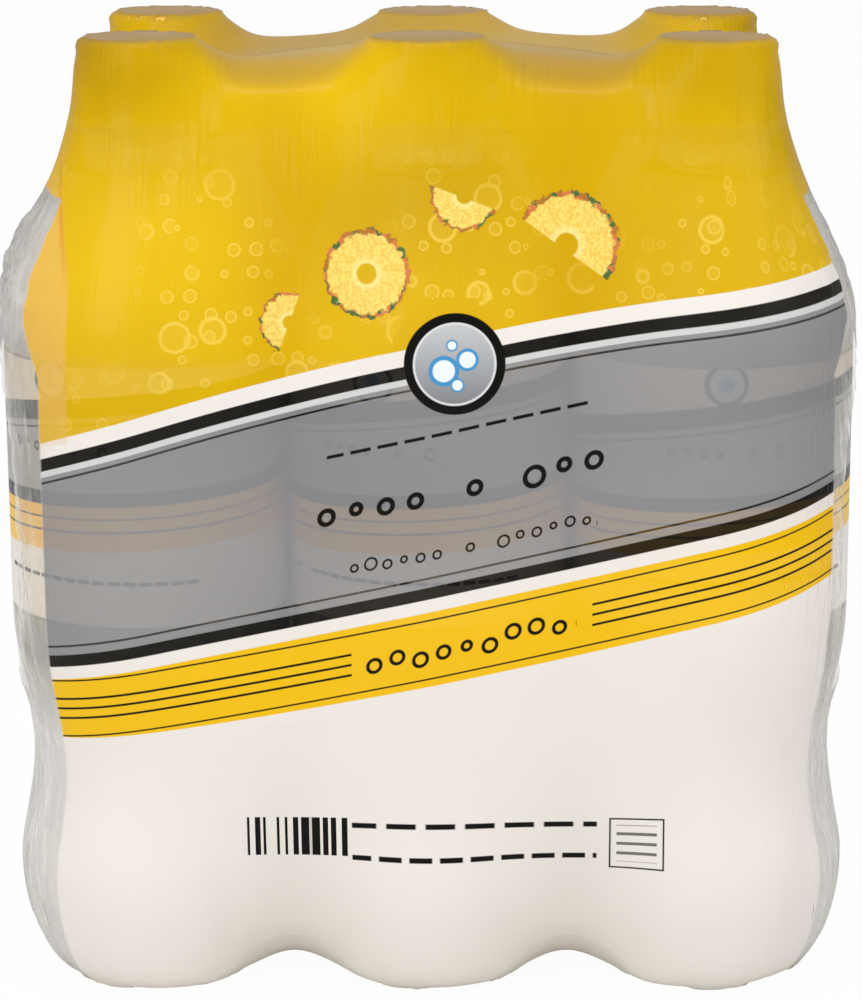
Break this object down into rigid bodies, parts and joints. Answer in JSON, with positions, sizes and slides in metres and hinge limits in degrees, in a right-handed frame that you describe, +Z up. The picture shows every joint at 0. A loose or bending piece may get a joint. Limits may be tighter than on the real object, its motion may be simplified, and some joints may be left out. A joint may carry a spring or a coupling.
{
  "type": "six pack of soda bottles",
  "caption": "Small soda bottles standing in two rows, held by a tight printed shrink film sleeve that is open at both ends.",
  "frame": {"origin": "centre of the base of the pack, on the surface that it stands on", "axes": "+X along the rows of three bottles, to the right as seen from the front; -Y the front; +Z up"},
  "size_m": [0.196, 0.131, 0.2208],
  "materials": {
    "film": "thin glossy shrink film, printed yellow, silver grey and white",
    "clear_bottle": "clear thin blown plastic",
    "drink": "pale straw yellow drink",
    "label": "printed wrap-round film label",
    "cap": "moulded fluted screw cap"
  },
  "bodies": {
    "root": {"film_sleeve": "film", "bottle_front_left": "clear_bottle", "drink_front_left": "drink", "label_front_left": "label", "cap_front_left": "cap", "bottle_front_middle": "clear_bottle", "drink_front_middle": "drink", "label_front_middle": "label", "cap_front_middle": "cap", "bottle_front_right": "clear_bottle", "drink_front_right": "drink", "label_front_right": "label", "cap_front_right": "cap", "bottle_back_left": "clear_bottle", "drink_back_left": "drink", "label_back_left": "label", "cap_back_left": "cap", "bottle_back_middle": "clear_bottle", "drink_back_middle": "drink", "label_back_middle": "label", "cap_back_middle": "cap", "bottle_back_right": "clear_bottle", "drink_back_right": "drink", "label_back_right": "label", "cap_back_right": "cap"}
  },
  "joints": []
}
